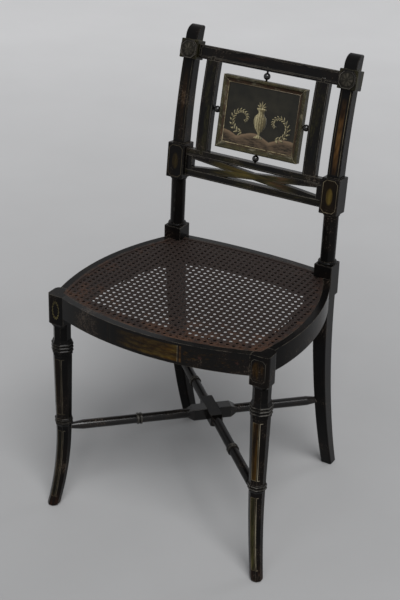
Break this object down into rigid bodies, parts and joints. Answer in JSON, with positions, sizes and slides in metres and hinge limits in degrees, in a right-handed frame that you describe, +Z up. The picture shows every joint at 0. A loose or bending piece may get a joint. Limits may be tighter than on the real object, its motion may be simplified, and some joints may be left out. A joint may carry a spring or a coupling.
{
  "type": "side chair",
  "caption": "Ebonised side chair with octagonal sabre legs, ringed capitals, bowed caned seat, X stretcher, lattice back rail and a small painted tablet held on balls.",
  "frame": {"origin": "on the floor, below the middle of the chair's bounding box", "axes": "+Z up, -Y is the way the sitter faces; left and right in the names are as seen from the front, so right is +X"},
  "size_m": [0.4662, 0.4741, 0.8618],
  "materials": {
    "ebonised_wood": "polished black paint",
    "gilt_wood": "worn gilding over black paint",
    "painted_panel": "varnished ornament in gold on black",
    "cane": "dark stained woven cane"
  },
  "bodies": {
    "root": {"front_leg_left": "ebonised_wood", "front_leg_right": "ebonised_wood", "rear_post_left": "ebonised_wood", "rear_post_right": "ebonised_wood", "seat_rail_front": "ebonised_wood", "seat_rail_left": "ebonised_wood", "seat_rail_right": "ebonised_wood", "seat_rail_back": "ebonised_wood", "cane_panel": "cane", "cane_binding": "cane", "top_rail": "ebonised_wood", "mid_rail": "ebonised_wood", "lower_rail": "ebonised_wood", "lattice_bar_rising": "gilt_wood", "lattice_bar_falling": "gilt_wood", "lattice_stile_left": "ebonised_wood", "lattice_stile_right": "ebonised_wood", "inner_stile_left": "ebonised_wood", "inner_stile_right": "ebonised_wood", "tablet_panel": "painted_panel", "tablet_moulding_top": "gilt_wood", "tablet_moulding_bottom": "gilt_wood", "tablet_moulding_left": "gilt_wood", "tablet_moulding_right": "gilt_wood", "tablet_ball_top": "ebonised_wood", "tablet_ball_bottom": "ebonised_wood", "tablet_ball_left": "ebonised_wood", "tablet_ball_right": "ebonised_wood", "tablet_pins": "ebonised_wood", "patera_left": "ebonised_wood", "patera_right": "ebonised_wood", "stretcher_left": "ebonised_wood", "stretcher_right": "ebonised_wood"}
  },
  "joints": []
}
